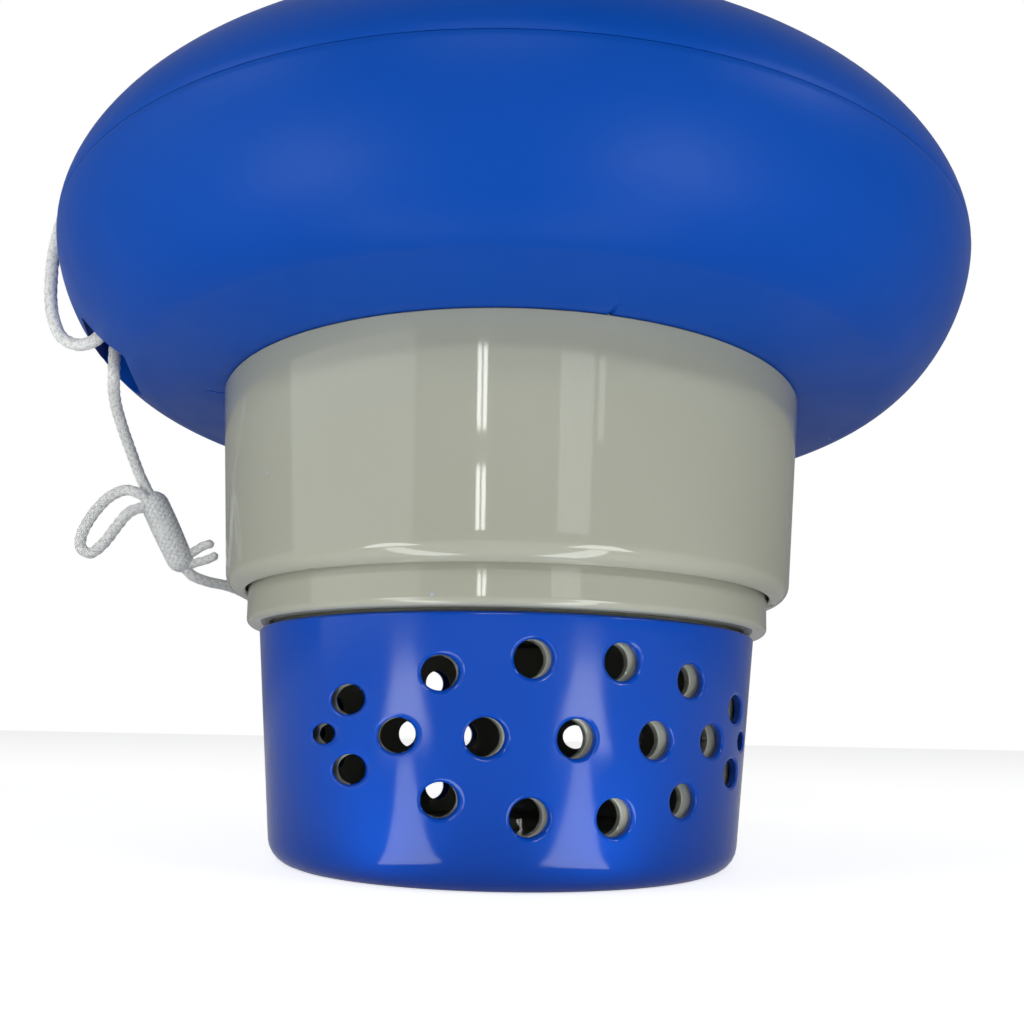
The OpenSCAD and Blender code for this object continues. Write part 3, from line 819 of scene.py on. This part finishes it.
def stretched(outline, longest=0.0018):
    """The outline with points added where they lie far apart."""
    return rounded([(p.x, p.y, 0) for p in outline], longest=longest)


def slot_frame(along, across, z):
    """A point by the slot: along the rim's radius, across it, and at that height."""
    out = on_ring(1, SLOT_AZ, 0)
    return out * along + Vector((-out.y, out.x, 0)) * across + Vector((0, 0, z))


def slot_prism(name, plan, z_low, z_high):
    """A prism on a plan of (along, across) points by the slot."""
    bm = bmesh.new()
    skin(bm, [[bm.verts.new(slot_frame(x, y, z)) for x, y in plan] for z in (z_low, z_high)])
    bmesh.ops.recalc_face_normals(bm, faces=bm.faces)
    return mesh_from(bm, name)


def slot_plan():
    """The slot's plan, a rectangle with round corners."""
    low, high = SLOT_ROUND, SLOT_W - SLOT_ROUND
    reach = SLOT_LEN / 2 - SLOT_ROUND
    corners = [(high, reach), (low, reach), (low, -reach), (high, -reach)]
    return [(SLOT_IN_R + x + SLOT_ROUND * math.cos(a), y + SLOT_ROUND * math.sin(a))
            for quarter, (x, y) in enumerate(corners)
            for a in [math.pi / 2 * (quarter + k / 6) for k in range(7)]]


half = SLOT_LEN / 2
block_plan = [(SLOT_IN_R - SLOT_WALL, -half - SLOT_WALL), (SLOT_IN_R + 0.03, -half - SLOT_WALL),
              (SLOT_IN_R + 0.03, half + SLOT_WALL), (SLOT_IN_R - SLOT_WALL, half + SLOT_WALL)]
slot_cut = slot_prism("slot", slot_plan(), CUT_LOW_Z, CUT_HIGH_Z)


def shell_with_slot(name, outline, solid_outline):
    """A shell turned from its outline, with the slot's walls built in and the slot cut out."""
    walls = worked(turned("walls", solid_outline, closed=False, segments=FINE_TURN),
                   slot_prism("block", block_plan, CUT_LOW_Z, CUT_HIGH_Z), "INTERSECT")
    shell = worked(turned(name, outline, segments=FINE_TURN), walls, "UNION")
    return worked(shell, slot_cut)


lower_outer = full_quarter(KNEE_R, SEAM_Z, FLOAT_R - KNEE_R, KNEE_Z - SEAM_Z, LOWER_POWER)
lower_inner = full_quarter(KNEE_R, SEAM_Z, FLOAT_R - FLOAT_WALL - KNEE_R,
                           KNEE_Z + FLOAT_WALL - SEAM_Z, LOWER_POWER)
lower_outer[0] = Vector((FLOAT_R - SEAM_EASE, SEAM_Z))
lower_outline = stretched(
    lower_outer + [Vector(p) for p in (
        (WELL_R + 0.0016, UNDER_Z), (WELL_R + 0.0002, UNDER_Z + 0.0001), (WELL_R, UNDER_Z + 0.0004),
        (WELL_R, SEAM_Z), (WELL_R + WELL_WALL, SEAM_Z), (WELL_R + WELL_WALL, UNDER_Z + FLOAT_WALL))]
    + lower_inner[::-1])
lower_mesh = shell_with_slot("float_lower_shell", lower_outline,
                             [Vector((0, SEAM_Z)), *lower_outer, Vector((0, KNEE_Z))])
slits = [
    round_bar("slit", on_ring(WELL_R - 0.001, a, UNDER_Z), on_ring(WELL_R + SLIT_LEN, a, UNDER_Z),
              SLIT_W / 2, around=12) for a in (-75, 15, 105, 195)]
lower_mesh = worked(lower_mesh, joined("slits", slits))
satin_blue = moulded_material("satin_blue_plastic", (0.0, 0.05, 0.32), (0.0, 0.058, 0.35),
                              0.42, 0.08, 420.0, 0.12, 0.12, IOR=1.46, Specular_IOR_Level=0.12,
                              Sheen_Weight=0.08, Sheen_Roughness=0.3)
lower = place_moulded("float_lower_half", lower_mesh, satin_blue, "float_blue",
                      "float_lower_shell", body="float")


# ------------------------------------------------------------------ Float, upper shell
# The other half, welded on at the seam. Its sunk opening takes the lid, and a shelf in it is
# clamped by the neck's ring.
MOUTH_R = 0.0468
SHELF_R = 0.0447
SHELF_TOP_Z = 0.1152

upper_outer = full_quarter(CREST_R, SEAM_Z, FLOAT_R - CREST_R, CREST_Z - SEAM_Z, UPPER_POWER)
upper_inner = full_quarter(CREST_R, SEAM_Z, FLOAT_R - FLOAT_WALL - CREST_R,
                           CREST_Z - FLOAT_WALL - SEAM_Z, UPPER_POWER)
upper_outer[0] = Vector((FLOAT_R - SEAM_EASE, SEAM_Z + 0.0001))
upper_outline = stretched(
    upper_outer
    + rounded([(CREST_R, CREST_Z, 0), (MOUTH_R, CREST_Z, 0.0014), (MOUTH_R, SHELF_TOP_Z, 0)],
              closed=False)[1:]
    + [Vector(p) for p in (
        (SHELF_R, SHELF_TOP_Z), (SHELF_R, SEAM_Z), (WELL_R + WELL_WALL, SEAM_Z),
        (WELL_R + WELL_WALL, SHELF_TOP_Z), (CREST_R, SHELF_TOP_Z))] + upper_inner[::-1])
upper_mesh = shell_with_slot("float_upper_shell", upper_outline,
                             [Vector((0, CREST_Z)), *upper_outer[::-1], Vector((0, SEAM_Z))])
upper = place_moulded("float_upper_half", upper_mesh, satin_blue, "float_blue",
                      "float_upper_shell", body="float")


# ------------------------------------------------------------------ Neck ring
# A grey ring pressed over the neck, which clamps the float's shelf. Eight slots take its spanner.
RING_H = 0.004
RING_SLOT_W = 0.003
neck_ring_outline = rounded([
    (NECK_R, SHELF_TOP_Z, 0), (MOUTH_R - 0.0004, SHELF_TOP_Z, 0.0003),
    (MOUTH_R - 0.0004, SHELF_TOP_Z + RING_H, 0.0005), (NECK_R, SHELF_TOP_Z + RING_H, 0.0004)])
ring_slots = [
    sector("slot", MOUTH_R - 0.0012, MOUTH_R + 0.001, math.radians(a), RING_SLOT_W / 2 / MOUTH_R,
           SHELF_TOP_Z + 0.001, SHELF_TOP_Z + RING_H + 0.001) for a in range(0, 360, 45)]
neck_ring = place_moulded(
    "neck_clamp_ring", worked(turned("neck_ring", neck_ring_outline), joined("slots", ring_slots)),
    housing_grey, "housing_grey", "neck_ring", body="float")


# ------------------------------------------------------------------ Lid and its gasket
# The grey twist lid closes the neck on a flat rubber ring. Fingers turn the grip in its dish,
# and three lugs on its skirt lock below the neck's slots.
LID_R = 0.0463
LID_Z = 0.1322
LID_H = 0.0022
DISH_R = 0.0389
DISH_FLOOR_Z = 0.122
DISH_FLOOR_H = 0.002
SKIRT_R = 0.0409
GRIP_W = 0.011
GRIP_TOP_Z = 0.1396
GRIP_WAIST = 0.0022
GASKET_Z = NECK_TOP_Z + 0.0002
GASKET_H = 0.0008

gasket_outline = rounded([
    (NECK_BORE_R + 0.0001, GASKET_Z, 0.0002), (NECK_R, GASKET_Z, 0.0002),
    (NECK_R, GASKET_Z + GASKET_H, 0.0002), (NECK_BORE_R + 0.0001, GASKET_Z + GASKET_H, 0.0002)])
gasket = place_moulded("gasket_ring", turned("lid_gasket", gasket_outline), rubber,
                       "seal_rubber", "lid_gasket", body="seal")

lid_outline = rounded([
    (0, DISH_FLOOR_Z, 0), (SKIRT_R, DISH_FLOOR_Z, 0.0006), (SKIRT_R, LID_Z, 0.0002),
    (LID_R, LID_Z, 0.0003), (LID_R, LID_Z + LID_H, 0.001), (DISH_R, LID_Z + LID_H, 0.0008),
    (DISH_R, DISH_FLOOR_Z + DISH_FLOOR_H, 0.0012), (0, DISH_FLOOR_Z + DISH_FLOOR_H, 0)],
    closed=False)


def grip_mesh():
    """The grip's wall across the dish, a little narrower at its middle, with round edges."""
    bm = bmesh.new()
    sections = 24
    reach = DISH_R + 0.0004
    low = DISH_FLOOR_Z + DISH_FLOOR_H / 2
    rings = []
    for i in range(sections + 1):
        y = reach * (2 * i / sections - 1)
        w = GRIP_W / 2 - GRIP_WAIST / 2 * math.cos(math.pi / 2 * y / reach) ** 2
        soft = 0.0022
        section = [(-w, low)]
        section += [(-w + soft - soft * math.cos(t), GRIP_TOP_Z - soft + soft * math.sin(t))
                    for t in [math.pi / 2 * k / 6 for k in range(7)]]
        section += [(-x, z) for x, z in section[::-1]]
        rings.append([bm.verts.new((x, y, z)) for x, z in section])
    skin(bm, rings)
    bmesh.ops.recalc_face_normals(bm, faces=bm.faces)
    return mesh_from(bm, "grip")


lugs = [sector("lug", SKIRT_R - 0.0005, LUG_R, a, LUG_HALF, LUG_Z, LUG_Z + LUG_H) for a in thirds]
lid_mesh = worked(turned("lid_cap", lid_outline, closed=False), grip_mesh(), "UNION")
lid_mesh = worked(lid_mesh, joined("lugs", lugs), "UNION")
lid = place_moulded("lid_body", lid_mesh, housing_grey, "housing_grey", "lid_cap", body="lid")


# ------------------------------------------------------------------ Floor and light
# A plain pale floor, a pale surround, and soft panels: two tall narrow ones in front that show
# as strips on the collar, and broad ones above and at the sides.
FLOOR_HALF = 3.0
floor_mesh = bpy.data.meshes.new("floor")
floor_mesh.from_pydata([(-FLOOR_HALF, -FLOOR_HALF, 0), (FLOOR_HALF, -FLOOR_HALF, 0),
                        (FLOOR_HALF, FLOOR_HALF, 0), (-FLOOR_HALF, FLOOR_HALF, 0)], [], [(0, 1, 2, 3)])
floor = bpy.data.objects.new("floor", floor_mesh)
bpy.context.collection.objects.link(floor)
pale_floor, floor_tree, floor_shader = new_material(
    "pale_floor", Roughness=0.9, Base_Color=(0.72, 0.72, 0.72, 1), Emission_Color=(1, 1, 1, 1))
floor_seen = add_node(floor_tree, "ShaderNodeLightPath")
floor_glow = add_node(floor_tree, "ShaderNodeMath", {
    0: floor_seen.outputs["Is Camera Ray"], 1: 0.6, 2: 0.14}, operation="MULTIPLY_ADD")
floor_tree.links.new(floor_glow.outputs[0], floor_shader.inputs["Emission Strength"])
floor.data.materials.append(pale_floor)

# The surround is pale all round and darker in front, as a room behind a photographer is.
# Straight behind the object it shows as plain white.
world = bpy.data.worlds.new("pale_surround")
world.use_nodes = True
bpy.context.scene.world = world
bpy.context.scene.view_settings.view_transform = "Standard"
sky = world.node_tree
direction = add_node(sky, "ShaderNodeTexCoord").outputs["Generated"]
facing = add_node(sky, "ShaderNodeVectorMath", {
    0: direction, 1: (0.0, -1.0, 0.25)}, operation="DOT_PRODUCT")
shade = add_node(sky, "ShaderNodeMapRange", {
    "Value": facing.outputs["Value"], "From Min": 0.1, "From Max": 0.85, "To Min": 0.24, "To Max": 0.05},
    interpolation_type="SMOOTHSTEP")
surround = sky.nodes["Background"]
surround.inputs["Color"].default_value = (0.97, 0.985, 1.0, 1)
sky.links.new(shade.outputs[0], surround.inputs["Strength"])
backdrop = add_node(sky, "ShaderNodeBackground", {"Color": (1, 1, 1, 1), "Strength": 1.0})
seen = add_node(sky, "ShaderNodeLightPath")
choice = add_node(sky, "ShaderNodeMixShader", {
    0: seen.outputs["Is Camera Ray"], 1: surround.outputs[0], 2: backdrop.outputs[0]})
sky.links.new(choice.outputs[0], sky.nodes["World Output"].inputs["Surface"])


def panel(name, middle, aim, width, height, power):
    """A soft rectangular light that faces the point it aims at."""
    data = bpy.data.lights.new(name, "AREA")
    data.shape, data.size, data.size_y = "RECTANGLE", width, height
    data.energy = power
    light = bpy.data.objects.new(name, data)
    bpy.context.collection.objects.link(light)
    light.location = middle
    light.rotation_euler = (Vector(aim) - Vector(middle)).to_track_quat("-Z", "Y").to_euler()
    light.visible_camera = False
    return light


HEART = (0, 0, 0.07)
WINDOW_REACH = 1.25
KEY_REACH = 1.3
KEY_Z = 0.68

# Panels in front: name, azimuth, height, its width and height, power
for name, azimuth, z, width, height, power in (
        ("window_left_low", -11.2, 0.195, 0.03, 0.09, 0.11),
        ("window_left_high", -11.2, 0.345, 0.03, 0.11, 0.14),
        ("window_right_low", -9.2, 0.195, 0.03, 0.09, 0.11),
        ("window_right_high", -9.2, 0.345, 0.03, 0.11, 0.14),
        ("front_board", 23.0, 0.27, 0.26, 0.25, 0.3),
        ("board_edge", 32.0, 0.34, 0.05, 0.11, 0.03)):
    panel(name, on_ring(WINDOW_REACH, azimuth, z), HEART, width, height, power)
panel("left_board", on_ring(1.1, -61, 0.25), HEART, 1.1, 0.6, 1.7)
for azimuth, power in ((-4, 4.0), (-58, 2.1), (58, 3.6)):
    panel("key", on_ring(KEY_REACH, azimuth, KEY_Z), HEART, 0.5, 0.1, power)
panel("overhead", (-0.5, -0.3, 1.5), HEART, 1.2, 1.2, 0.9)

# Low cards that lie beside the foot, whose gleam runs down the cup: name, azimuth, distance
# of the near end from the foot, length, width, power
for name, azimuth, near, length, width, power in (
        ("left_card_near", -45, 0.006, 0.1, 0.015, 0.023),
        ("left_card_far", -45, 0.13, 0.3, 0.07, 0.45),
        ("right_card_near", 35, 0.006, 0.1, 0.016, 0.026),
        ("right_card_far", 35, 0.12, 0.3, 0.07, 0.45)):
    start = on_ring(0.047, azimuth * 0.42, 0.001)
    middle = start + on_ring(1, azimuth, 0) * (near + length / 2)
    card = panel(name, middle, middle + Vector((0, 0, 1)), width, length, power)
    card.rotation_euler = (math.pi, 0, toward(azimuth) + math.pi / 2)
